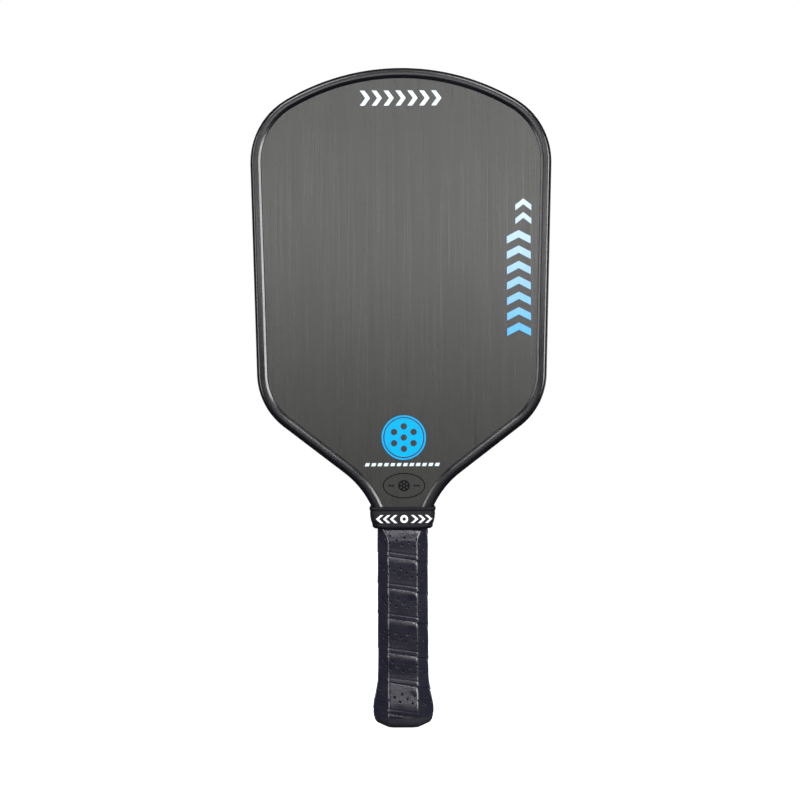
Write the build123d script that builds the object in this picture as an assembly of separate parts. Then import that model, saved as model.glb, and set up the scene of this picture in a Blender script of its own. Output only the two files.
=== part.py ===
from build123d import *

import os
from math import cos, radians, sqrt, tan

os.makedirs("parts", exist_ok=True)

# A pickleball paddle: a honeycomb blade with carbon skins, a moulded edge guard, and an octagonal
# handle with a cushion grip. All sizes are in millimetres.
# Frame: +Z runs up the handle to the top of the head, +X is the width, and the front face looks
# along -Y. The origin is the centre of the butt's flat end.

# Head outline, measured outside the edge guard
total_length = 417.0
crown_radius = 143.2
shoulder_radius = 46.1
side_half_width = 93.6  # at side_height
side_height = 300.0
side_taper = 1.54  # degrees from upright, narrowing towards the handle
lower_corner_radius = 43.1
flank_half_width = 60.0  # at flank_height
flank_height = 179.1
flank_angle = 52.5  # degrees from upright
throat_radius = 57.2
neck_half_width = 14.4

# Blade, counted from the middle of its thickness
core_thickness = 16.0
ply_thickness = 0.2
wrap_ply_thickness = 0.5
foam_width = 8.0
foam_end_height = 150.0
cell_pitch = 8.0
cell_wall = 0.4
smallest_cell_share = 0.3  # a cut cell smaller than this share of a whole one is left solid

# Edge guard: a U-channel that stops under the collar
guard_web = 1.7
guard_tape = 0.2
guard_leg_width = 6.9
guard_leg_thickness = 1.4
guard_end_height = 131.0
guard_outer_round = 2.4
guard_lip_round = 0.7

# Handle, as the outside of the grip
grip_half_width = 15.8
grip_half_depth = 14.8
grip_facet_half_width = 9.1  # of the front and back facets
grip_thickness = 1.7
adhesive_thickness = 0.15
taper_start_height = 118.0
grip_top = 127.0
grip_top_half_depth = 12.1
grip_top_corner = 0.85  # how far the corners move out at the top, over the widening neck

# Butt cap
cap_floor = 3.0
cap_top = 28.0
flare_end_height = 34.0
# Height from the grip's lower edge up, and how far the grip stands out past the straight handle
flare = ((8.0, 2.9), (12.0, 3.4), (16.0, 3.05), (20.0, 2.2), (28.0, 0.7))
# Height, half width and half facet width of the cap's bare rim, from its flat end up
rim = (
    (0.0, 9.4, 8.4),
    (1.7, 12.4, 8.6),
    (2.9, 15.5, 8.8),
    (3.5, 16.8, 8.9),
    (5.2, 18.0, 9.0),
    (8.0, 18.45, 9.1),
)

# Staples that hold the butt cap
staple_height = 20.0
staple_crown = 6.0
staple_wire = 0.7
staple_leg = 5.4
staple_recess = 0.1

# Collar: height, half width and half depth of its outside, and the chamfer of its corners
collar_outside = (
    (126.2, 17.7, 13.9),
    (127.4, 18.7, 14.5),
    (129.0, 18.7, 14.4),
    (131.0, 19.3, 14.0),
    (133.6, 20.0, 13.2),
    (137.2, 20.3, 12.1),
    (138.2, 20.85, 12.2),
    (139.2, 20.85, 12.0),
    (140.0, 20.5, 11.5),
)
collar_corner_bottom = 4.6
collar_corner_top = 2.2
# Height, half width, half depth, and width plus depth at the corner chamfer, of its hole
cavity_bottom = (126.0, 16.15, 12.75, 25.1)
cavity_top = (140.0, 19.95, 10.25, 28.5)
tape_bottom = 127.0
tape_top = 137.0
tape_thickness = 0.3

# Values that follow from those above
blade_inset = guard_web + guard_tape
core_inset = blade_inset + wrap_ply_thickness
foam_inset = core_inset + foam_width
half_core = core_thickness / 2
half_blade = half_core + 2 * ply_thickness
half_guard = half_blade + guard_leg_thickness
grip_build = grip_thickness + adhesive_thickness
big = 2 * total_length  # longer than the paddle, for cutting blocks
near = 0.01  # two heights closer than this are the same
past = 1.0  # how far a cutting shape runs past what it cuts


def line_at(half_width, height, angle, inset):
    """Slope and intercept of x = slope * z + intercept for a side of the head moved inwards."""
    slope = tan(radians(angle))
    return slope, half_width - slope * height - inset / cos(radians(angle))


def head_face(inset, bottom=cap_floor):
    """The head, neck and tongue outline moved inwards by inset, as a face in X and Z."""
    side_slope, side_start = line_at(side_half_width, side_height, side_taper, inset)
    flank_slope, flank_start = line_at(flank_half_width, flank_height, flank_angle, inset)
    radius = crown_radius - inset
    crown_centre = total_length - crown_radius
    # The crown's circle meets the side's line at the root of a * z^2 + 2 * b * z + c
    a = side_slope**2 + 1
    b = side_slope * side_start - crown_centre
    c = side_start**2 + crown_centre**2 - radius**2
    shoulder_z = (-b + sqrt(b**2 - a * c)) / a
    corner_z = (side_start - flank_start) / (flank_slope - side_slope)
    neck_x = neck_half_width - inset
    throat_z = (neck_x - flank_start) / flank_slope
    right = [
        (side_slope * shoulder_z + side_start, shoulder_z),
        (side_slope * corner_z + side_start, corner_z),
        (neck_x, throat_z),
        (neck_x, bottom),
    ]
    left = [(-x, z) for x, z in reversed(right)]
    crown = ThreePointArc(left[-1], (0, total_length - inset), right[0])
    face = make_face([crown, Polyline(*right, *left)])
    for height, fillet_radius in (
        (shoulder_z, shoulder_radius - inset),
        (corner_z, lower_corner_radius - inset),
        (throat_z, throat_radius + inset),
    ):
        corners = [v for v in face.vertices() if abs(v.Y - height) < near]
        face = fillet(corners, fillet_radius)
    return face


def slab(face, low_y, high_y):
    """A face drawn in X and Z, filled from low_y to high_y."""
    return Pos(0, high_y, 0) * extrude(Plane.XZ * face, amount=high_y - low_y)


def above(height):
    """Everything over a height."""
    return Pos(0, 0, height + big / 2) * Box(big, big, big)


def octagon(height, half_width, half_depth, corner_sum):
    """A level octagon. Its 45 degree sides lie where |x| + |y| is corner_sum."""
    x, y = corner_sum - half_depth, corner_sum - half_width
    quarter = [(half_width, y), (x, half_depth)]
    half = quarter + [(-px, py) for px, py in reversed(quarter)]
    points = half + [(-px, -py) for px, py in half]
    return Pos(0, 0, height) * make_face(Polyline(*points, close=True))


def solid_through(sections):
    """One solid with straight walls between level octagons."""
    return loft([octagon(*section) for section in sections], ruled=True)


def moved_out(sections, distance):
    """The same octagons with every side moved outwards by distance."""
    return [
        (z, half_width + distance, half_depth + distance, corner_sum + sqrt(2) * distance)
        for z, half_width, half_depth, corner_sum in sections
    ]


# The outside of the grip, from its lower edge to its top, as height, half width, half depth and
# corner sum. The flare adds the same amount to the width and the depth, so the front facet keeps
# its width. At the top the front and back facets slope in to the neck.
straight_sum = grip_facet_half_width + grip_half_depth
grip_outside = [
    (z, grip_half_width + out, grip_half_depth + out, straight_sum + out) for z, out in flare
] + [
    (flare_end_height, grip_half_width, grip_half_depth, straight_sum),
    (taper_start_height, grip_half_width, grip_half_depth, straight_sum),
    (grip_top, grip_half_width, grip_top_half_depth, straight_sum + grip_top_corner),
]
handle_outside = moved_out(grip_outside, -grip_build)
_, straight_half_width, straight_half_depth, straight_corner = handle_outside[-2]


def blade_layer(low_y, high_y, inset=blade_inset):
    return slab(head_face(inset), low_y, high_y)


def ring(outer_inset, inner_inset, half_height):
    """A band that follows the rim of the head, between two insets."""
    return slab(head_face(outer_inset), -half_height, half_height) - slab(
        head_face(inner_inset, bottom=-cap_floor), -half_height - past, half_height + past
    )


def edge_foam():
    return ring(core_inset, foam_inset, half_core) & above(foam_end_height)


def edge_wrap_ply():
    """A strip round the whole blade, so it closes across the end of the tongue as well."""
    outside = head_face(blade_inset)
    inside = head_face(core_inset, bottom=cap_floor + wrap_ply_thickness)
    return slab(outside, -half_core, half_core) - slab(inside, -big, big)


def edge_guard_tape():
    return ring(guard_web, blade_inset, half_core) & above(guard_end_height)


def leg_borders(guard, outer):
    """The long edges along the outer or the inner border of the guard's two legs."""
    middle = head_face(guard_leg_width / 2)
    borders = []
    for edge in guard.edges():
        point = edge.position_at(0.5)
        on_leg = abs(abs(point.Y) - half_guard) < near
        if on_leg and point.Z > guard_end_height + near:
            if middle.is_inside(Vector(point.X, point.Z, 0)) != outer:
                borders.append(edge)
    return borders


def edge_guard():
    outside = head_face(0)
    channel = slab(outside - head_face(guard_web), -half_guard, half_guard)
    leg = slab(outside - head_face(guard_leg_width), half_blade, half_guard)
    guard = (channel + leg + mirror(leg, Plane.XZ)) & above(guard_end_height)
    guard = fillet(leg_borders(guard, outer=True), guard_outer_round)
    return fillet(leg_borders(guard, outer=False), guard_lip_round)


def honeycomb_core():
    """Hexagonal cells through the core, with a closed wall where the panel was cut."""
    bottom = cap_floor + wrap_ply_thickness
    below_foam = Rectangle(big, foam_end_height, align=(Align.CENTER, Align.MIN))
    panel = head_face(foam_inset, bottom) + (head_face(core_inset, bottom) & below_foam)
    below_foam = Rectangle(big, foam_end_height - cell_wall, align=(Align.CENTER, Align.MIN))
    hollow = head_face(foam_inset + cell_wall, bottom + cell_wall) + (
        head_face(core_inset + cell_wall, bottom + cell_wall) & below_foam
    )
    flat_width = cell_pitch - cell_wall
    cell = RegularPolygon(flat_width / 2, 6, major_radius=False, rotation=30)
    rows = int(total_length / (cell_pitch * sqrt(3) / 2))
    columns = int(side_half_width / cell_pitch) + 1
    holes = []
    for row in range(rows):
        shift = cell_pitch / 2 if row % 2 else 0
        for column in range(-columns, columns + 1):
            place = Pos(column * cell_pitch + shift, row * cell_pitch * sqrt(3) / 2)
            cut = hollow & (place * cell)
            if not cut:
                continue
            largest = max(cut.faces(), key=lambda f: f.area)
            if largest.area > smallest_cell_share * cell.area:
                holes.append(largest.outer_wire())
    walls = Face(panel.face().outer_wire(), holes)
    return slab(walls, -half_core, half_core)


blade = blade_layer(-half_blade, half_blade)


def staple():
    """One U-shaped staple, its crown just under the front of the cap and its legs going in."""
    seat_depth = next(depth for z, _, depth, _ in handle_outside if z == staple_height)
    from_front = (Align.CENTER, Align.MIN, Align.CENTER)
    crown = Box(staple_crown, staple_wire, staple_wire, align=from_front)
    leg = Box(staple_wire, staple_leg, staple_wire, align=from_front)
    reach = (staple_crown - staple_wire) / 2
    shape = crown + Pos(reach, 0, 0) * leg + Pos(-reach, 0, 0) * leg
    return Pos(0, staple_recess - seat_depth, staple_height) * shape


front_staple = staple()
staples = Compound(children=[front_staple, mirror(front_staple, Plane.XZ)])


def handle_shell():
    """The front half of the octagon round the tongue."""
    straight = (straight_half_width, straight_half_depth, straight_corner)
    body = solid_through([(cap_floor, *straight), *handle_outside[-2:]])
    front = Pos(0, -big / 2, 0) * Box(big, big, big)
    return (body & front) - blade - front_staple


def butt_cap():
    shallower = grip_half_width - grip_half_depth
    rim_sections = [
        (z, width, width - shallower, width - shallower + facet) for z, width, facet in rim
    ]
    seat = [s for s in handle_outside if s[0] <= cap_top]
    cavity = solid_through(
        [
            (z, straight_half_width, straight_half_depth, straight_corner)
            for z in (cap_floor, cap_top + past)
        ]
    )
    cap = solid_through(rim_sections) + solid_through(seat)
    return cap - cavity - staples


def grip_layer(inner, outer):
    return solid_through(moved_out(handle_outside, outer)) - solid_through(
        moved_out(handle_outside, inner)
    )


def collar_cavity(inset=0.0, low=cavity_bottom[0], high=cavity_top[0]):
    """The tapering hole of the collar, or its surface moved in by the tape, between two heights."""
    span = cavity_top[0] - cavity_bottom[0]

    def at(height):
        share = (height - cavity_bottom[0]) / span
        return tuple(a + (b - a) * share for a, b in zip(cavity_bottom, cavity_top))

    return solid_through(moved_out([at(low), at(high)], -inset))


def grip_collar():
    low, high = collar_outside[0][0], collar_outside[-1][0]
    sections = []
    for z, width, depth in collar_outside:
        share = (z - low) / (high - low)
        corner = collar_corner_bottom + (collar_corner_top - collar_corner_bottom) * share
        sections.append((z, width, depth, width + depth - corner))
    return solid_through(sections) - collar_cavity()


nodes = {
    "honeycomb_core": honeycomb_core(),
    "edge_foam": edge_foam(),
    "edge_wrap_ply": edge_wrap_ply(),
    "front_inner_ply": blade_layer(-half_core - ply_thickness, -half_core),
    "front_outer_ply": blade_layer(-half_blade, -half_core - ply_thickness),
    "back_inner_ply": blade_layer(half_core, half_core + ply_thickness),
    "back_outer_ply": blade_layer(half_core + ply_thickness, half_blade),
    "edge_guard": edge_guard(),
    "edge_guard_tape": edge_guard_tape(),
    "handle_shell_front": handle_shell(),
    "handle_shell_back": mirror(handle_shell(), Plane.XZ),
    "butt_cap": butt_cap(),
    "butt_cap_staples": staples,
    "grip_adhesive": grip_layer(0, adhesive_thickness),
    "grip_wrap": grip_layer(adhesive_thickness, grip_build),
    "grip_finishing_tape": collar_cavity(0, tape_bottom, tape_top)
    - collar_cavity(tape_thickness, tape_bottom, tape_top),
    "grip_collar": grip_collar(),
}
for name, shape in nodes.items():
    export_step(shape, f"parts/{name}.step")
    print(name, round(shape.volume))
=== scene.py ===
"""The looks of a pickleball paddle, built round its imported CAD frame.

Metres in Blender, millimetres where a name ends in _mm or a comment says so.
+Z runs up the handle, +X is the width and the front face looks along -Y.
"""

from math import asin, atan2, ceil, cos, pi, radians, sin, sqrt, tan

import bmesh
import bpy
import numpy as np
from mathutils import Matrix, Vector, bvhtree
from mathutils.geometry import tessellate_polygon


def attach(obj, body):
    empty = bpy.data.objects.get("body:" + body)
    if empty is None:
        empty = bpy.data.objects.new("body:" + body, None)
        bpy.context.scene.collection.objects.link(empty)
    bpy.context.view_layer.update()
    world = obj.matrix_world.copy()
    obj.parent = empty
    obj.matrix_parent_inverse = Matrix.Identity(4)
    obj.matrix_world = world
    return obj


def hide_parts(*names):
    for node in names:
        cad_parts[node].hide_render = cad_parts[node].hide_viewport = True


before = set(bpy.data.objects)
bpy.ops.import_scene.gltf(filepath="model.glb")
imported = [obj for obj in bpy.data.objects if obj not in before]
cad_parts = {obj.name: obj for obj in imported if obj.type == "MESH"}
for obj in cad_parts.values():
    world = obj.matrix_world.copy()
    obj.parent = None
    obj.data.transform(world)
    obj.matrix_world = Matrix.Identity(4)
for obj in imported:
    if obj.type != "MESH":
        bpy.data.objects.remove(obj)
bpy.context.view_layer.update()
MM = 0.001

# Head outline, as in the CAD, in millimetres and degrees from upright
total_length = 417.0
crown_radius = 143.2
shoulder_radius = 46.1
side = (93.6, 300.0, 1.54)  # half width, height, angle
lower_corner_radius = 43.1
flank = (60.0, 179.1, 52.5)
throat_radius = 57.2
neck_half_width = 14.4
half_blade = 8.4
half_guard = 9.8
guard_end_height = 131.0
guard_web = 1.7


# ---------------------------------------------------------------- mesh helpers


def make_piece(name, points_mm, faces, material, sharp, stands_for=()):
    """A mesh piece that rides on the paddle, from points in millimetres. Edges that bend by more
    than sharp degrees are creased, and stands_for names the CAD nodes that it replaces."""
    mesh = bpy.data.meshes.new(name)
    mesh.from_pydata((np.asarray(points_mm, dtype=float) * MM).tolist(), [], faces)
    mesh.materials.append(material)
    piece = bpy.data.objects.new(name, mesh)
    bpy.context.scene.collection.objects.link(piece)
    work = bmesh.new()
    work.from_mesh(mesh)
    bmesh.ops.recalc_face_normals(work, faces=work.faces)
    work.to_mesh(mesh)
    work.free()
    mesh.shade_smooth()
    mesh.set_sharp_from_angle(angle=radians(sharp))
    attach(piece, "root")
    if stands_for:
        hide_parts(*stands_for)
    return piece


def grid_faces(rows, columns, wrap_rows=False, wrap_columns=False):
    """Quads of a grid whose point (row, column) is number row * columns + column."""
    faces = []
    for i in range(rows if wrap_rows else rows - 1):
        for j in range(columns if wrap_columns else columns - 1):
            i2, j2 = (i + 1) % rows, (j + 1) % columns
            faces.append((i * columns + j, i * columns + j2, i2 * columns + j2, i2 * columns + j))
    return faces


def end_faces(rows, columns):
    """The faces that close the first and last rows of a grid."""
    last = (rows - 1) * columns
    return [tuple(range(columns)), tuple(last + n for n in range(columns))]


def smooth_step(x):
    """0 up to x = 0, 1 from x = 1 on, and a soft rise between."""
    x = np.clip(x, 0.0, 1.0)
    return x * x * (3 - 2 * x)


def catmull_rom(a, b, c, d, f):
    """The value at share f of the way from b to c, on a smooth curve from a to d."""
    square = (2 * a - 5 * b + 4 * c - d) * f**2
    cube = (3 * b - a - 3 * c + d) * f**3
    return 0.5 * (2 * b + (c - a) * f + square + cube)


def smooth_curve(keys, count):
    """Points on a Catmull-Rom curve through the keys, evenly spread over its spans."""
    keys = np.asarray(keys, dtype=float)
    ends = np.vstack([2 * keys[0] - keys[1], keys, 2 * keys[-1] - keys[-2]])
    t = np.linspace(0, len(keys) - 1, count)
    k = np.minimum(t.astype(int), len(keys) - 2)
    f = (t - k)[:, None]
    return catmull_rom(*(ends[k + n] for n in range(4)), f)


# ------------------------------------------------------------ material helpers


class Graph:
    """A material's node tree, with short ways to add the nodes that the pieces need."""

    def __init__(self, name, **sockets):
        self.material = bpy.data.materials.new(name)
        self.material.use_nodes = True
        self.tree = self.material.node_tree
        self.shader = self.tree.nodes["Principled BSDF"]
        for key, value in sockets.items():
            self.shader.inputs[key.replace("_", " ")].default_value = value
        self.where = self.add("ShaderNodeTexCoord").outputs["Object"]

    def add(self, kind, inputs=(), **settings):
        node = self.tree.nodes.new(kind)
        for key, value in settings.items():
            setattr(node, key, value)
        for key, value in dict(inputs).items():
            if isinstance(value, bpy.types.NodeSocket):
                self.tree.links.new(value, node.inputs[key])
            else:
                node.inputs[key].default_value = value
        return node

    def total(self, first, *others):
        for other in others:
            first = self.add("ShaderNodeMath", {0: first, 1: other}, operation="ADD").outputs[0]
        return first

    def scaled(self, sizes_mm):
        """The position, stretched so that one unit is sizes_mm along X, Y and Z."""
        scale = tuple(1000 / s for s in sizes_mm)
        return self.add("ShaderNodeMapping", {"Vector": self.where, "Scale": scale}).outputs[0]

    def noise(self, sizes_mm, detail=2.0, roughness=0.5):
        inputs = {
            "Vector": self.scaled(sizes_mm),
            "Scale": 1.0,
            "Detail": detail,
            "Roughness": roughness,
        }
        return self.add("ShaderNodeTexNoise", inputs).outputs["Fac"]

    def cells(self, size_mm):
        inputs = {"Vector": self.scaled((size_mm,) * 3), "Scale": 1.0}
        return self.add("ShaderNodeTexVoronoi", inputs).outputs["Distance"]

    def spread(self, value, low, high, low_in=0.3, high_in=0.7):
        """The value mapped from the range low_in to high_in onto low to high, and clamped."""
        inputs = {
            "Value": value,
            "From Min": low_in,
            "From Max": high_in,
            "To Min": low,
            "To Max": high,
        }
        return self.add("ShaderNodeMapRange", inputs).outputs[0]

    def blend(self, share, first, second):
        """A colour between two others, each an (r, g, b) tuple or a node's output."""
        node = self.add("ShaderNodeMix", data_type="RGBA")
        share_socket, first_socket, second_socket = (node.inputs[n] for n in (0, 6, 7))
        self.tree.links.new(share, share_socket)
        for socket, value in ((first_socket, first), (second_socket, second)):
            if isinstance(value, tuple):
                socket.default_value = (*value, 1.0)
            else:
                self.tree.links.new(value, socket)
        return node.outputs[2]

    def bump(self, height, distance_mm, under=None):
        inputs = {"Height": height, "Distance": distance_mm * MM, "Strength": 1.0}
        if under:
            inputs["Normal"] = under
        return self.add("ShaderNodeBump", inputs).outputs[0]

    def set(self, **sockets):
        """Links node outputs to the shader's sockets, and gives the finished material."""
        for key, value in sockets.items():
            self.tree.links.new(value, self.shader.inputs[key.replace("_", " ")])
        return self.material


def moulded(name, color, roughness, grain_mm, depth_mm, vary=0.25, **sockets):
    """Moulded or cast material: a fine grain, slow changes in gloss and a little colour change."""
    g = Graph(name, **sockets)
    grain = g.noise((grain_mm,) * 3, detail=3)
    slow = g.noise((25, 25, 25), detail=2)
    dark = tuple(c * (1 - vary) for c in color)
    light = tuple(c * (1 + vary) for c in color)
    tint = g.blend(g.spread(slow, 0, 1), dark, light)
    slow_gloss = g.spread(slow, roughness - 0.04, roughness + 0.04)
    gloss = g.total(g.spread(grain, -0.05, 0.05), slow_gloss)
    return g.set(Base_Color=tint, Roughness=gloss, Normal=g.bump(grain, depth_mm))


# ------------------------------------------------------------------- materials


def carbon_material():
    """Raw carbon with a peel-ply finish: fine upright fibre streaks under a gritty weave."""
    g = Graph("raw_carbon", IOR=1.5, Specular_IOR_Level=0.86)
    fine = g.noise((0.58, 4, 95), detail=4, roughness=0.6)
    strand = g.noise((1.9, 4, 110), detail=2)
    tow = g.noise((3.4, 4, 150), detail=3)
    across = g.noise((9, 4, 1.1), detail=3)
    cloud = g.noise((45, 45, 60), detail=3)
    grit = g.noise((0.35, 0.35, 0.35), detail=2)
    level = g.total(
        g.spread(fine, -0.40, 0.40, 0.25, 0.75),
        g.spread(tow, -0.14, 0.14),
        g.spread(across, -0.11, 0.11),
        g.spread(cloud, -0.05, 0.05),
        0.5,
    )
    tint = g.blend(level, (0.0010, 0.0010, 0.0007), (0.0222, 0.0214, 0.0175))
    gloss = g.total(
        g.spread(tow, 0.03, -0.03, 0.25, 0.75),
        g.spread(fine, 0.36, 0.26, 0.2, 0.8),
        g.spread(strand, 0.024, -0.024, 0.25, 0.75),
        g.spread(grit, -0.04, 0.04),
    )
    normal = g.bump(fine, 0.05)
    normal = g.bump(grit, 0.02, under=normal)
    return g.set(Base_Color=tint, Roughness=gloss, Normal=normal)


carbon = carbon_material()
# Name, colour, roughness, and the size and depth of the grain in millimetres
guard_plastic = moulded(
    "guard_plastic", (0.004, 0.004, 0.0055), 0.22, 0.4, 0.001, Specular_IOR_Level=0.5
)
cap_nylon = moulded("cap_nylon", (0.016, 0.016, 0.021), 0.42, 0.35, 0.02)
collar_rubber = moulded(
    "collar_rubber", (0.005, 0.0046, 0.007), 0.56, 0.3, 0.02, Specular_IOR_Level=0.16
)
rigid_foam = moulded("rigid_foam", (0.55, 0.47, 0.33), 0.85, 0.6, 0.2)
comb_plastic = moulded("honeycomb_plastic", (0.72, 0.72, 0.70), 0.5, 0.8, 0.03)
tape_paper = moulded("tape", (0.08, 0.08, 0.08), 0.7, 0.3, 0.02)
staple_steel = moulded("staple_steel", (0.55, 0.55, 0.57), 0.3, 0.15, 0.01, vary=0.1, Metallic=1.0)


def grip_material():
    """Polyurethane skin over foam: a fine leather-like grain with slow changes in gloss."""
    sheen = {"Sheen_Weight": 0.8, "Sheen_Roughness": 0.35, "Sheen_Tint": (0.55, 0.6, 1.0, 1.0)}
    g = Graph("grip_cushion", IOR=1.5, Specular_IOR_Level=0.5, **sheen)
    pores = g.cells(0.45)
    grain = g.noise((0.5, 0.5, 0.5), detail=3)
    slow = g.noise((14, 14, 14), detail=3)
    crease = g.noise((3.5, 3.5, 0.9), detail=2)
    tint = g.blend(g.spread(slow, 0, 1), (0.0078, 0.0072, 0.0130), (0.0136, 0.0126, 0.0205))
    gloss = g.total(g.spread(slow, 0.20, 0.26), g.spread(grain, -0.04, 0.04))
    normal = g.bump(pores, 0.02)
    normal = g.bump(grain, 0.016, under=normal)
    normal = g.bump(crease, 0.04, under=normal)
    return g.set(Base_Color=tint, Roughness=gloss, Normal=normal)


grip_cushion = grip_material()


def print_material(name, low_color, high_color=None, low_mm=0.0, high_mm=total_length, shine=0.3):
    """Screen-printed ink whose colour runs from one height to another, with worn streaks."""
    g = Graph(name, IOR=1.45, Specular_IOR_Level=shine)
    height = g.add("ShaderNodeSeparateXYZ", {0: g.where}).outputs[2]
    share = g.spread(height, 0, 1, low_mm * MM, high_mm * MM)
    streak = g.noise((0.9, 4, 22), detail=3)
    grain = g.noise((0.25, 0.25, 0.25), detail=2)
    tint = g.blend(share, low_color, high_color or low_color)
    thin_ink = tuple(c * 0.55 for c in low_color)
    worn = g.blend(g.spread(streak, 0.0, 0.22, 0.45, 0.75), tint, thin_ink)
    gloss = g.spread(grain, 0.42, 0.58)
    return g.set(Base_Color=worn, Roughness=gloss, Normal=g.bump(streak, 0.03))


ink_white = print_material("print_white", (0.57, 0.64, 0.69))
ink_bright = print_material("print_bright", (0.78, 0.79, 0.80))
ink_blue = print_material("print_blue", (0.075, 0.34, 0.66), (0.48, 0.56, 0.64), 247.0, 335.0)
ink_cyan = print_material("print_cyan", (0.0, 0.33, 0.74), shine=0.15)
ink_dark = print_material("print_dark", (0.004, 0.004, 0.005), shine=0.1)

for node, material in {
    "honeycomb_core": comb_plastic,
    "edge_foam": rigid_foam,
    "edge_wrap_ply": carbon,
    "front_inner_ply": carbon,
    "front_outer_ply": carbon,
    "back_inner_ply": carbon,
    "back_outer_ply": carbon,
    "edge_guard_tape": tape_paper,
    "handle_shell_front": rigid_foam,
    "handle_shell_back": rigid_foam,
    "butt_cap_staples": staple_steel,
    "grip_adhesive": tape_paper,
    "grip_finishing_tape": tape_paper,
}.items():
    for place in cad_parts[node].material_slots:
        place.material = material


# ------------------------------------------------------------------ edge guard


def arc(centre, radius, start, end, step, inside_out=1):
    """Points and outward normals along an arc; inside_out is -1 where the outline is hollow."""
    count = max(2, ceil(abs(end - start) * radius / step))
    angles = np.linspace(start, end, count, endpoint=False)
    normals = np.stack([np.cos(angles), np.sin(angles)], axis=1)
    return np.asarray(centre) + inside_out * radius * normals, normals


def head_outline(step=1.5):
    """Points and outward normals, in X and Z, from the guard's right end round to its left end."""

    def line(half_width, height, angle, offset=0.0):
        slope = tan(radians(angle))
        return slope, half_width - slope * height + offset / cos(radians(angle))

    side_angle, flank_angle = -radians(side[2]), -radians(flank[2])
    crown = (0.0, total_length - crown_radius)
    slope, start = line(*side, -shoulder_radius)
    a, b = slope**2 + 1, slope * start - crown[1]
    c = start**2 + crown[1] ** 2 - (crown_radius - shoulder_radius) ** 2
    z = (-b + sqrt(b**2 - a * c)) / a
    shoulder = (slope * z + start, z)
    crown_angle = atan2(shoulder[1] - crown[1], shoulder[0])
    slope, start = line(*side, -lower_corner_radius)
    slope2, start2 = line(*flank, -lower_corner_radius)
    z = (start - start2) / (slope2 - slope)
    corner = (slope * z + start, z)
    slope, start = line(*flank, throat_radius)
    throat_x = neck_half_width + throat_radius
    throat = (throat_x, (throat_x - start) / slope)
    throat_angle = -asin((guard_end_height - throat[1]) / throat_radius)

    def straight(first, second):
        """The run between two arcs, each given by its centre and signed radius, at one angle."""
        (c1, r1), (c2, r2), angle = first, second[:2], second[2]
        normal = np.array([cos(angle), sin(angle)])
        p, q = np.asarray(c1) + r1 * normal, np.asarray(c2) + r2 * normal
        count = max(2, ceil(np.linalg.norm(q - p) / step))
        share = np.linspace(0, 1, count, endpoint=False)[:, None]
        return p + (q - p) * share, np.tile(normal, (count, 1))

    runs = [
        arc(throat, throat_radius, throat_angle, flank_angle, step, -1),
        straight((throat, -throat_radius), (corner, lower_corner_radius, flank_angle)),
        arc(corner, lower_corner_radius, flank_angle, side_angle, step),
        straight((corner, lower_corner_radius), (shoulder, shoulder_radius, side_angle)),
        arc(shoulder, shoulder_radius, side_angle, crown_angle, step),
        arc(crown, crown_radius, crown_angle, pi / 2, step),
    ]
    points = np.vstack([r[0] for r in runs])
    normals = np.vstack([r[1] for r in runs])
    mirror = np.array([-1.0, 1.0])
    top = [[0.0, total_length]], [[0.0, 1.0]]
    return (
        np.vstack([points, top[0], points[::-1] * mirror]),
        np.vstack([normals, top[1], normals[::-1] * mirror]),
    )


def guard_profile():
    """The guard's cross-section as inset from the outline and Y, from the rounded shoulder over a
    nearly flat land and a bevel to the lip that meets the face."""
    crown_inset = 3.2
    side_inset, side_y = 0.1, 5.8  # where the flat side ends and the shoulder starts
    fullness = 0.9  # 1 for an ellipse, less for a squarer shoulder
    outer = []
    for a in np.linspace(0.0, pi / 2, 22):
        inset = side_inset + (crown_inset - side_inset) * (1 - max(cos(a), 0.0) ** fullness)
        outer.append((inset, side_y + (half_guard - side_y) * sin(a) ** fullness))
    land = [(crown_inset, half_guard), (3.8, 9.78), (4.5, 9.735), (5.0, 9.68)]
    land += [(5.4, 9.54), (5.85, 9.3), (6.3, 9.04), (6.74, 8.78), (7.02, 8.46)]
    inner = [tuple(p) for p in smooth_curve(land, 26)[1:]]
    web_inside = guard_web + 0.02
    underside = half_blade + 0.01  # of the legs, just clear of the faces
    side_middle = (0.03, 2.9)
    half = [side_middle, *outer, *inner, (inner[-1][0] + 0.04, underside), (web_inside, underside)]
    return [(0.0, 0.0), *[(u, -y) for u, y in half], (web_inside, 0.0), *reversed(half)]


def edge_guard():
    """The moulded channel: its cross-section carried round the head, closed at its two ends."""
    points, normals = head_outline()
    profile = np.array(guard_profile())
    flat = points[:, None, :] - normals[:, None, :] * profile[None, :, :1]
    y = np.broadcast_to(profile[None, :, 1:], (len(points), len(profile), 1))
    solid = np.concatenate([flat[..., :1], y, flat[..., 1:]], axis=2).reshape(-1, 3)
    faces = grid_faces(len(points), len(profile), wrap_columns=True)
    faces += end_faces(len(points), len(profile))
    make_piece(
        "edge_guard_moulding", solid, faces, guard_plastic, 50, ["edge_guard"]
    )


edge_guard()


# ------------------------------------------------------------------------ grip

# The handle under the grip: height, half width, half depth and corner sum, in millimetres
handle_keys = [
    (z, 13.8 + out, 12.8 + out, 20.85 + out)
    for z, out in ((0, 2.6), (8, 2.9), (12, 3.4), (16, 3.05), (20, 2.2), (28, 0.7), (34, 0.15))
] + [(119.8, 13.95, 12.95, 21.0), (127.0, 13.95, 10.35, 21.9), (142.0, 13.95, 5.8, 22.9)]
facet_corner = 2.2  # radius of the handle's corners under the grip
grip_low, grip_top = 8.0, 127.0
grip_crease = 60  # degrees from which its edges are sharp
grip_build = 1.85  # usual thickness

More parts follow.
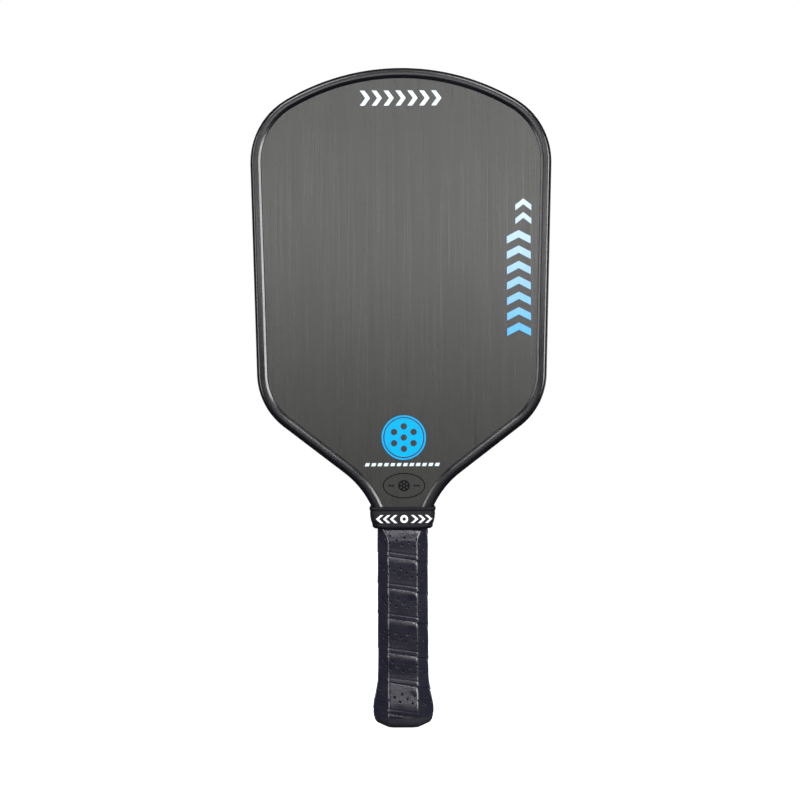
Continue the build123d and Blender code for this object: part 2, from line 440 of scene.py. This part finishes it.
# The handle's three sizes at even heights, blurred so that the strip over them has no kinks
heights = np.arange(-6.0, 140.0, 0.5)
blur_reach = 3  # heights averaged on each side
blur = np.ones(2 * blur_reach + 1) / (2 * blur_reach + 1)
handle_sizes = []
for sizes in list(zip(*handle_keys))[1:]:
    sampled = np.interp(heights, [k[0] for k in handle_keys], sizes)
    handle_sizes.append(np.convolve(np.pad(sampled, blur_reach, mode="edge"), blur, "valid"))

# The grip's own octagon, by which its perimeter and the share of each facet are taken
grip_half_depth, grip_half_width, grip_corner_sum = 14.8, 15.8, 23.62


def facet_ends(before, here, after):
    """Where a facet starts and ends along its own line, from its distance to the axis and the
    distances of the facets before and after it."""
    cos45 = sqrt(0.5)
    return -(before - here * cos45) / cos45, (after - here * cos45) / cos45


def facet_shares():
    """How far round the grip each facet and each corner ends, from the middle of the front."""
    outside = facet_corner + grip_build
    bevel = grip_corner_sum / sqrt(2)
    distances = [grip_half_depth, bevel, grip_half_width, bevel] * 2
    lengths = []
    for k in range(8):
        here, after = distances[k] - outside, distances[(k + 1) % 8] - outside
        before = distances[k - 1] - outside
        start, end = facet_ends(before, here, after)
        lengths += [end - start, outside * pi / 4]
    lengths = [lengths[0] / 2, *lengths[1:], lengths[0] / 2]
    ends = np.cumsum(lengths)
    return ends / ends[-1], ends[-1]


share_ends, grip_perimeter = facet_shares()


def octagon_point(share, half_width, half_depth, corner_sum, radius):
    """Points and level outward normals of a rounded octagon, at shares of a turn from the front
    middle towards -X. Each size may be one value or one per point."""
    share = np.mod(share, 1.0)
    part = np.minimum(np.searchsorted(share_ends, share, side="right"), 16)
    low = np.concatenate([[0.0], share_ends])[part]
    f = (share - low) / (share_ends[part] - low)
    f = np.where(part == 0, 0.5 + f / 2, np.where(part == 16, f / 2, f))
    k = (part // 2) % 8
    corner = part % 2 == 1
    ones = np.ones_like(share)
    bevel = corner_sum * ones / sqrt(2)
    # Distances of the facets from the axis, less the corner radius
    table = np.stack([half_depth * ones, bevel, half_width * ones, bevel] * 2) - radius
    here, after, before = (
        np.take_along_axis(table, np.mod(n, 8)[None, :], axis=0)[0] for n in (k, k + 1, k - 1)
    )
    start, end = facet_ends(before, here, after)
    along = np.where(corner, end, start + (end - start) * f)
    turn = radians(45) * k
    facing = np.stack([-np.sin(turn), -np.cos(turn)])
    tangent = np.stack([-np.cos(turn), np.sin(turn)])
    bent = turn + np.where(corner, radians(45) * f, 0.0)
    normal = np.stack([-np.sin(bent), -np.cos(bent)])
    point = facing * here + tangent * along + normal * radius
    return point.T, normal.T


# Height of the strip's lower edge each time it passes the middle of the front
seam_heights = (-9.3, 9.8, 29.1, 47.6, 69.2, 88.3, 108.0, 127.6, 147.0)
seam_turns = np.arange(-1, len(seam_heights) - 1, dtype=float)
strip_width = 26.0
strip_edge = 0.22  # radius of its lower edge
outer_height = 1.92  # of its outer face over the handle, away from its edges
inner_height = 0.15  # of its inner face over the handle, away from the overlap
strip_turns = 7.02
hole_pitch = 7.35
columns_per_hole = 12
column_step = hole_pitch / columns_per_hole / grip_perimeter
hole_rows_start = 6.9
row_step = 0.6
hole_shifts = (0, 5, 10)  # columns by which each row of holes starts later
first_hole_column = 6
hole_reach = 2  # grid cells that a hole takes up on each side of its middle
# Radius and depth of each ring down a hole, from its rim to its narrow end
hole_wall = ((0.94, 0.0), (0.82, 0.02), (0.76, 0.08), (0.72, 0.35), (0.46, 1.1), (0.06, 1.6))


def seam_height(turn):
    """Height of the strip's lower edge, steeper over the sides than over the front and back."""
    turn = turn - 0.27 * np.sin(4 * pi * turn) / (4 * pi)
    keys = np.array(seam_heights)
    ends = np.concatenate([[2 * keys[0] - keys[1]], keys, [2 * keys[-1] - keys[-2]]])
    t = np.clip(turn - seam_turns[0], 0, len(keys) - 1.001)
    k = t.astype(int)
    f = t - k
    return catmull_rom(*(ends[k + n] for n in range(4)), f)


# Waves per turn, slant, phase and weight of each of the slight ripples in the strip
ripple = np.random.default_rng(7)
ripple_ranges = ((0.5, 9), (-0.5, 0.5), (0, 2 * pi), (0.4, 1))
ripples = [tuple(ripple.uniform(*ends) for ends in ripple_ranges) for _ in range(14)]


def overlap(turn):
    """0 on the first turn, which has none under it, and 1 on the later ones."""
    return smooth_step((turn + 0.05) / 0.1)


def hidden_thickness(q):
    """Height of the strip's covered upper margin over the handle, q running from 0 to 1."""
    return 1.30 - 1.0 * smooth_step(q)


def strip_outside(turn, v):
    """Height of the strip's outer face over the handle, v above its lower edge."""
    pitch = seam_height(turn + 1) - seam_height(turn)
    covered = strip_width - pitch
    to_seam = v - pitch  # 0 at the seam above, negative under it
    base = outer_height + 0.20 * overlap(turn) * (1 - smooth_step(v / 6.5))
    base = base - 0.26 * smooth_step((to_seam + 3.6) / 3.6)
    base = base - 0.32 * smooth_step((to_seam + 1.3) / 1.3)
    base = base - 0.20 * np.exp(-(((v - 2.7) / 0.28) ** 2))  # a fine groove along the lower edge
    # A swelling under the seam at the front facet's right corner
    wedge = 0.3 * np.exp(-(((np.mod(turn, 1) - 0.94) / 0.022) ** 2))
    base = base + wedge * (smooth_step((to_seam + 6.5) / 4.0) - smooth_step((to_seam + 2.0) / 2.0))
    height = seam_height(turn) + v
    # The ripples are larger over the flare, and fade out towards the seam above
    loose = (0.05 + 0.05 * smooth_step((26 - height) / 18)) * smooth_step((pitch - v) / 4.0)
    for waves, slant, phase, weight in ripples:
        base = base + loose * 0.5 * weight * np.sin(2 * pi * waves * turn + slant * v + phase)
    return np.where(v > pitch, hidden_thickness((v - pitch) / covered), base)


def strip_inside(turn, v):
    """Height of the strip's inner face, which lies over the margin of the turn below."""
    covered = strip_width - (seam_height(turn) - seam_height(turn - 1))
    lift = np.where(v < covered, hidden_thickness(v / covered) + 0.04, 0.0)
    fade = 1 - smooth_step((v - covered) / 1.5)
    lift = np.where(v < covered, lift, 0.34 * fade)
    return inner_height + lift * overlap(turn)


def strip_point(turn, v, height):
    """A point of the strip, which is crisper over the handle's corners between its edges."""
    z = seam_height(turn) + v
    sizes = [np.interp(z, heights, row) for row in handle_sizes]
    pitch = seam_height(turn + 1) - seam_height(turn)
    slack = smooth_step((v - 1) / 4) * (1 - smooth_step((v - pitch + 7) / 5))
    point, normal = octagon_point(turn, *sizes, facet_corner - 1.2 * slack)
    level = point + normal * height[:, None]
    return np.column_stack([level, z])


def strip_rows(turn, hole_v):
    """Places and heights of the strip's rows of points, once round its cross-section, and the
    number of rows before the first row of hole_v."""
    ones = np.ones(len(turn))
    pitch = seam_height(turn + 1) - seam_height(turn)
    rounding = np.linspace(0, pi / 2, 5)
    flat_v = [*np.arange(0.75, 6.8, 0.41)]
    rows = []
    # The rounded lower edge, the margin over it and the three rows of holes
    for a in rounding:
        v = strip_edge * (1 - cos(a)) * ones
        rows.append((v, strip_outside(turn, v) - strip_edge * (1 - sin(a))))
    for value in flat_v + hole_v:
        v = value * ones
        rows.append((v, strip_outside(turn, v)))
    # From there up to the seam above, and on under the next turn
    last = hole_v[-1]
    for share in (0.12, 0.24, 0.36, 0.48, 0.6, 0.7, 0.78, 0.84, 0.88, 0.92, 0.96, 1.0):
        v = last + (pitch - last) * share
        rows.append((v, strip_outside(turn, v - 1e-6)))
    for share in (0.08, 0.25, 0.5, 0.75, 1.0):
        v = pitch + (strip_width - pitch) * share
        rows.append((v, strip_outside(turn, v)))
    # Back down the inner face
    for value in (strip_width, 22.0, 16.0, 9.0, 7.5, 6.0, 4.0, 2.0, 0.35, 0.0):
        v = value * ones
        rows.append((v, strip_inside(turn, v)))
    return rows, len(rounding) + len(flat_v)


def hole_rings(centre_turn, centre_v, angles):
    """Points of the rings down one hole."""
    for radius, depth in hole_wall:
        t = centre_turn + radius * np.cos(angles) / grip_perimeter
        v = centre_v + radius * np.sin(angles)
        yield strip_point(t, v, strip_outside(t, v) - depth)


def grip_strip():
    """The cushion strip, wound over seven turns with its lower edge over the turn below, with
    three staggered rows of holes, cut level at both ends."""
    columns = int(strip_turns / column_step)
    turn = -1 + np.arange(columns) * column_step
    hole_row_count = 2 * hole_reach * len(hole_shifts) + 1
    hole_v = [hole_rows_start + row_step * n for n in range(hole_row_count)]
    rows, first_hole_row = strip_rows(turn, hole_v)
    row_count = len(rows)
    grid = np.stack([strip_point(turn, v, height) for v, height in rows], axis=1)
    points = list(grid.reshape(-1, 3))
    taken = set()
    hole_faces = []
    offsets = square_ring()
    angles = np.array([atan2(dj, di) for di, dj in offsets])
    cells = range(-hole_reach, hole_reach)
    for row, shift in enumerate(hole_shifts):
        middle = hole_reach * (1 + 2 * row)  # among the rows of hole_v
        centre_row = first_hole_row + middle
        first_start = first_hole_column + shift
        for start in range(first_start, columns - first_hole_column, columns_per_hole):
            taken.update((start + di, centre_row + dj) for di in cells for dj in cells)
            ring = [(start + di) * row_count + centre_row + dj for di, dj in offsets]
            for new in hole_rings(turn[start], hole_v[middle], angles):
                first = len(points)
                points.extend(new)
                inner = list(range(first, first + len(offsets)))
                for n in range(len(offsets)):
                    m = (n + 1) % len(offsets)
                    hole_faces.append((ring[n], ring[m], inner[m], inner[n]))
                ring = inner
            hole_faces.append(tuple(ring))
    faces = []
    for i in range(columns - 1):
        for j in range(row_count):
            if (i, j) not in taken:
                j2 = (j + 1) % row_count
                a, b = i * row_count, (i + 1) * row_count
                faces.append((a + j, b + j, b + j2, a + j2))
    faces += hole_faces + end_faces(columns, row_count)
    piece = make_piece(
        "grip_strip", points, faces, grip_cushion, grip_crease, ["grip_wrap"]
    )
    trim(piece, grip_low, -1)
    trim(piece, grip_top, 1)


def square_ring():
    """Grid offsets once round the square of cells that a hole takes up."""
    side_steps = range(-hole_reach, hole_reach)
    ring = [(n, -hole_reach) for n in side_steps] + [(hole_reach, n) for n in side_steps]
    return ring + [(-a, -b) for a, b in ring]


def trim(piece, height_mm, direction):
    """Cuts a piece at a height, closes the cut, and keeps what lies on the other side."""
    work = bmesh.new()
    work.from_mesh(piece.data)
    everything = work.verts[:] + work.edges[:] + work.faces[:]
    cut = bmesh.ops.bisect_plane(
        work,
        geom=everything,
        dist=1e-8,
        plane_co=(0, 0, height_mm * MM),
        plane_no=(0, 0, direction),
        clear_outer=True,
    )
    rim = [e for e in cut["geom_cut"] if isinstance(e, bmesh.types.BMEdge)]
    bmesh.ops.triangle_fill(work, edges=rim, use_beauty=True)
    bmesh.ops.recalc_face_normals(work, faces=work.faces)
    work.to_mesh(piece.data)
    work.free()
    piece.data.shade_smooth()
    piece.data.set_sharp_from_angle(angle=radians(grip_crease))


grip_strip()


# -------------------------------------------------------------------- butt cap


ring_count = 160  # points round each level section of the cap and collar


def ring_stack(sections, radii):
    """Points of level rounded octagons, one row each, with a corner radius for each."""
    share = (np.arange(ring_count) + 0.5) / ring_count
    rows = []
    for (z, *sizes), radius in zip(sections, radii):
        point = octagon_point(share, *sizes, radius)[0]
        rows.append(np.column_stack([point, np.full(ring_count, z)]))
    return np.vstack(rows)


# Bare rim of the cap under the grip: height, half width and half the front facet's width
rim_keys = [
    (1.5, 12.4, 8.8),
    (2.45, 16.2, 9.0),
    (2.75, 16.9, 9.0),
    (3.6, 17.5, 9.05),
    (5.2, 18.05, 9.05),
    (7.98, 18.4, 9.05),
]
rim_curve_start = 2  # the key from which the rim is a smooth curve; below it are straight runs
cap_corner = 0.9


def butt_cap():
    """The nylon cup: a slightly domed end with crisp facets, and the seat under the grip."""
    rim = [(z, w, w - 1.0, w - 1.0 + facet) for z, w, facet in rim_keys]
    rim = [*rim[: rim_curve_start + 1], *smooth_curve(rim[rim_curve_start:], 10)[1:]]
    lip = [(8.0, 18.2, 17.2, 26.1), (8.0, 16.8, 15.8, 24.1)]
    seat = [key for key in handle_keys if grip_low < key[0] <= 28]
    inside = [(28.0, 14.0, 13.0, 21.1), (3.0, 13.97, 12.97, 21.05)]
    panel = [(0.3, 3.6, 2.6, 4.4), (0.0, 4.2, 3.2, 5.2), (0.6, 8.4, 7.4, 13.4)]
    sections = [*panel, *rim, *lip, *seat, *inside]
    points = ring_stack(sections, [cap_corner] * len(sections))
    # The end rises towards its left and right sides, fully up to 3 mm and not at all from 8 mm
    beyond = np.clip((np.abs(points[:, 0]) - 9.0) / 8.4, 0, 1)
    points[:, 2] += 1.9 * beyond * (1 - smooth_step((points[:, 2] - 3.0) / 5.0))
    faces = grid_faces(len(sections), ring_count, wrap_columns=True)
    faces += end_faces(len(sections), ring_count)
    make_piece("butt_cap_moulding", points, faces, cap_nylon, 28, ["butt_cap"])


butt_cap()


# ---------------------------------------------------------------------- collar

# Outside of the collar from the bottom bead to the rolled top lip: height, half width, half depth
collar_keys = [
    (126.3, 16.6, 13.2),
    (126.4, 17.4, 13.9),
    (127.0, 18.4, 14.4),
    (127.9, 19.0, 14.6),
    (128.8, 19.05, 14.35),
    (129.3, 19.1, 14.2),
    (131.0, 19.75, 14.0),
    (133.6, 20.3, 13.2),
    (136.0, 20.5, 12.4),
    (137.3, 20.4, 12.0),
    (137.9, 20.7, 12.15),
    (138.8, 20.95, 12.2),
    (139.6, 20.8, 11.9),
    (140.0, 20.3, 11.3),
]


def collar():
    """The stretched rubber sleeve: a bead, a flared body and a rolled lip, open down its middle."""
    outside = smooth_curve(collar_keys, 66)
    low, high = outside[0][0], outside[-1][0]
    share = (outside[:, 0] - low) / (high - low)
    cut = 4.6 - 2.4 * share  # off the square corner
    sections = [(z, w, d, w + d - c) for (z, w, d), c in zip(outside, cut)]
    sections += [(139.6, 19.95, 10.35, 28.3), (133.0, 18.1, 11.6, 26.7), (126.6, 16.0, 12.8, 25.2)]
    radii = [*(4.2 - 1.4 * share), 1.6, 1.6, 1.6]
    faces = grid_faces(len(sections), ring_count, wrap_rows=True, wrap_columns=True)
    points = ring_stack(sections, radii)
    return make_piece(
        "collar_moulding", points, faces, collar_rubber, 60, ["grip_collar"]
    )


collar_piece = collar()


# ---------------------------------------------------------------------- prints


def circle(x, z, radius, count, stretch=1.0):
    angles = np.arange(count) * 2 * pi / count
    return [(x + radius * cos(a), z + radius * stretch * sin(a)) for a in angles]


def chevron(x, z, width, height, stroke, point=1.0):
    """A chevron that points along +X, or along -X where point is negative."""
    w, h, s = width / 2 * point, height / 2, stroke * point
    outer = [(x - w, z + h), (x - w + s, z + h), (x + w, z), (x - w + s, z - h)]
    return [*outer, (x - w, z - h), (x + w - s, z)]


def slanted(x, z, width, height, slant):
    w, h, s = width / 2, height / 2, slant / 2
    return [(x - w + s, z + h), (x + w + s, z + h), (x + w - s, z - h), (x - w - s, z - h)]


def upward(shape, x, z):
    """A shape drawn round the origin, turned to point up and moved to (x, z)."""
    return [(x - b, z + a) for a, b in shape]


def raised(name, shapes, low, high, material, back=False):
    """Thin closed solids over flat shapes with holes; low and high give Y at a point."""
    points, faces = [], []
    for outline, *holes in shapes:
        rings = [outline, *holes]
        flat = [p for ring in rings for p in ring]
        first = len(points)
        count = len(flat)
        points += [(x, high(x, z), z) for x, z in flat] + [(x, low(x, z), z) for x, z in flat]
        for tri in tessellate_polygon([[Vector((x, z, 0)) for x, z in ring] for ring in rings]):
            faces.append(tuple(first + n for n in tri))
            faces.append(tuple(first + count + n for n in reversed(tri)))
        start = first
        for ring in rings:
            n = len(ring)
            for k in range(n):
                a, b = start + k, start + (k + 1) % n
                faces.append((a, b, b + count, a + count))
            start += n
    if back:
        points = [(-x, -y, z) for x, y, z in points]
    make_piece(name, points, faces, material, 30)


def ball(x, z, radius):
    """A perforated ball seen from the side: a disc with a middle hole and a ring of holes."""
    holes = 6
    ring = 0.58 * radius
    hole = 0.17 * radius
    cuts = [circle(x, z, hole, 24)[::-1]]
    for n in range(holes):
        a = 2 * pi * n / holes + pi / holes
        cuts.append(circle(x + ring * cos(a), z + ring * sin(a), hole, 24)[::-1])
    return [circle(x, z, radius, 72), *cuts]


def ring_of(x, z, radius, stroke, stretch=1.0):
    """A line of even width round a circle, or round an ellipse where stretch isn't 1."""
    inner = radius - stroke
    inner_stretch = (radius * stretch - stroke) / inner
    return [circle(x, z, radius, 96, stretch), circle(x, z, inner, 96, inner_stretch)[::-1]]


print_middle = 1.0  # X of the emblem, the stamp and the collar's ring


def ink_low(x, z):
    return -half_blade + 0.02


def ink_high(x, z):
    return -half_blade - 0.05


def face_prints(side_name, back):
    """The generic marks on one face; the back's are the front's, turned round the handle."""
    top = [[chevron(-22.5 + 7.5 * n, 397.5, 6.5, 9.5, 3.0)] for n in range(7)]
    tall = [[upward(chevron(0, 0, 8.5, 15.0, 4.6), 74.0, 251.5 + 9.7 * n)] for n in range(7)]
    small = [[upward(chevron(0, 0, 7.5, 10.0, 3.6), 77.0, 321.5 + 8.6 * n)] for n in range(2)]
    emblem = [ball(print_middle, 183.5, 12.2), ring_of(print_middle, 183.5, 14.0, 1.0)]
    rule = [[slanted(-22 + 4.0 * n, 166.5, 2.6, 2.0, 0.7)] for n in range(12)]
    stamp_z = 153.2
    dashes = [[slanted(print_middle + dx, stamp_z, 4.0, 0.9, 0.0)] for dx in (-8.0, 8.0)]
    oval = ring_of(print_middle, stamp_z, 13.4, 0.7, 0.6)
    stamp = [oval, ball(print_middle, stamp_z, 3.6), *dashes]
    for kind, shapes, ink, slot in (
        ("top_chevrons", top, ink_white, "print_white"),
        ("side_chevrons", tall + small, ink_blue, "print_blue"),
        ("ball_emblem", emblem, ink_cyan, "print_blue"),
        ("dashed_rule", rule, ink_white, "print_white"),
        ("oval_stamp", stamp, ink_dark, "print_dark"),
    ):
        raised(f"{side_name}_{kind}", shapes, ink_low, ink_high, ink, back)


face_prints("front", False)
face_prints("back", True)


def dense(shape, step=0.5):
    """A shape's outline with points added along its longer sides."""
    out = []
    for (x, z), (x2, z2) in zip(shape, shape[1:] + shape[:1]):
        count = max(1, ceil(sqrt((x2 - x) ** 2 + (z2 - z) ** 2) / step))
        out += [(x + (x2 - x) * k / count, z + (z2 - z) * k / count) for k in range(count)]
    return out


def collar_marks():
    """A raised ring with three chevrons on each side of it, laid on the collar's curved front."""
    work = bmesh.new()
    work.from_mesh(collar_piece.data)
    surface = bvhtree.BVHTree.FromBMesh(work)

    def front(x, z):
        hit = surface.ray_cast(Vector((x * MM, -0.1, z * MM)), Vector((0, 1, 0)))[0]
        return hit.y / MM

    mark_z = 132.5
    sunk, proud = 0.3, 0.22
    disc = circle(print_middle, mark_z, 2.45, 40)
    opening = circle(print_middle, mark_z, 1.1, 24)[::-1]
    shapes = [[dense(disc), opening]]
    for n in range(3):
        for way in (-1, 1):
            x = print_middle + way * (6.6 + 4.4 * n)
            shapes.append([dense(chevron(x, mark_z, 4.6, 4.9, 1.8, way)[::way])])
    raised(
        "collar_chevrons",
        shapes,
        lambda x, z: front(x, z) + sunk,
        lambda x, z: front(x, z) - proud,
        ink_bright,
    )
    work.free()


collar_marks()


# --------------------------------------------------------------- world, lights

scene = bpy.context.scene
scene.view_settings.view_transform = "Standard"
world = bpy.data.worlds.new("studio")
scene.world = world
world.use_nodes = True
tree = world.node_tree
tree.nodes.clear()


def background(color, strength):
    node = tree.nodes.new("ShaderNodeBackground")
    node.inputs[0].default_value = (*color, 1)
    node.inputs[1].default_value = strength
    return node.outputs[0]


# Plain white behind the paddle, but only a dim, cool light on it
path = tree.nodes.new("ShaderNodeLightPath")
mix = tree.nodes.new("ShaderNodeMixShader")
out = tree.nodes.new("ShaderNodeOutputWorld")
tree.links.new(path.outputs["Is Camera Ray"], mix.inputs[0])
tree.links.new(background((0.80, 0.88, 1.0), 0.05), mix.inputs[1])
tree.links.new(background((1, 1, 1), 1.0), mix.inputs[2])
tree.links.new(mix.outputs[0], out.inputs[0])


def softbox(name, place, target, size, power):
    """A rectangular light that faces its target."""
    data = bpy.data.lights.new(name, "AREA")
    data.shape = "RECTANGLE"
    data.size, data.size_y = size
    data.energy = power
    light = bpy.data.objects.new(name, data)
    light.location = place
    light.rotation_euler = (Vector(target) - Vector(place)).to_track_quat("-Z", "Y").to_euler()
    scene.collection.objects.link(light)


# Place, target and size in metres, and power in watts
LIGHTS = {
    "key": ((0.86, -0.74, 0.42), (0.0, 0.0, 0.30), (0.34, 0.60), 11.0),
    "main_left": ((-0.33, -1.28, 0.42), (-0.1, 0.0, 0.33), (0.64, 0.16), 1.5),
    "main_right": ((0.33, -1.28, 0.42), (0.1, 0.0, 0.33), (0.64, 0.16), 1.8),
    "middle": ((0.0, -1.20, 0.66), (0.0, 0.0, 0.33), (1.30, 0.22), 0.8),
    "high_left": ((-0.35, -0.92, 1.00), (0.0, 0.0, 0.15), (0.40, 0.30), 6.0),
    "high_right": ((0.32, -0.92, 1.00), (0.0, 0.0, 0.15), (0.40, 0.30), 7.0),
    "left_side": ((-0.94, -0.56, 0.42), (0.0, 0.0, 0.25), (0.22, 0.90), 6.5),
    "left_low": ((-0.80, -0.75, 0.12), (0.0, 0.0, 0.1), (0.25, 0.24), 0.6),
    "right_low": ((0.95, -0.50, 0.12), (0.0, 0.0, 0.1), (0.25, 0.24), 1.2),
    "front_low": ((0.0, -1.25, 0.07), (0.0, 0.0, 0.1), (1.20, 0.12), 0.25),
    "top": ((0.0, -0.45, 1.25), (0.0, 0.0, 0.3), (1.0, 0.45), 0.8),
    "rear": ((0.0, 1.3, 0.9), (0.0, 0.0, 0.2), (1.2, 0.8), 10.0),
    "rear_side": ((0.95, 0.95, 0.18), (0, 0, 0.25), (0.55, 0.5), 1.2),
}
for name, settings in LIGHTS.items():
    softbox(name, *settings)

floor_mesh = bpy.data.meshes.new("floor")
reach = 4.0  # of the floor, each way from the middle
corners = [(-reach, -reach, 0), (reach, -reach, 0), (reach, reach, 0), (-reach, reach, 0)]
floor_mesh.from_pydata(corners, [], [(0, 1, 2, 3)])
floor = bpy.data.objects.new("floor", floor_mesh)
scene.collection.objects.link(floor)
g = Graph("floor_paper", Base_Color=(0.5, 0.5, 0.5, 1), Roughness=0.9)
g.shader.inputs["Emission Color"].default_value = (1, 1, 1, 1)
g.shader.inputs["Emission Strength"].default_value = 1.0
g.set(Normal=g.bump(g.noise((2, 2, 2)), 0.02))
floor_mesh.materials.append(g.material)
floor.visible_diffuse = False
floor.visible_glossy = False

camera_data = bpy.data.cameras.new("camera")
camera = bpy.data.objects.new("camera", camera_data)
scene.collection.objects.link(camera)
distance = 1.25  # from the middle of the blade's thickness
framed_plane = 0.003  # how far in front of that the picture is framed_width wide
framed_width = 0.5063
roll = 0.27  # degrees by which the paddle stands off upright in the picture
camera_data.lens = camera_data.sensor_width * (distance - framed_plane) / framed_width
camera.location = (-0.00127, -distance, 0.2072)
camera.rotation_euler = (radians(90), radians(roll), 0)
camera_data.clip_start, camera_data.clip_end = 0.05, 20
scene.camera = camera
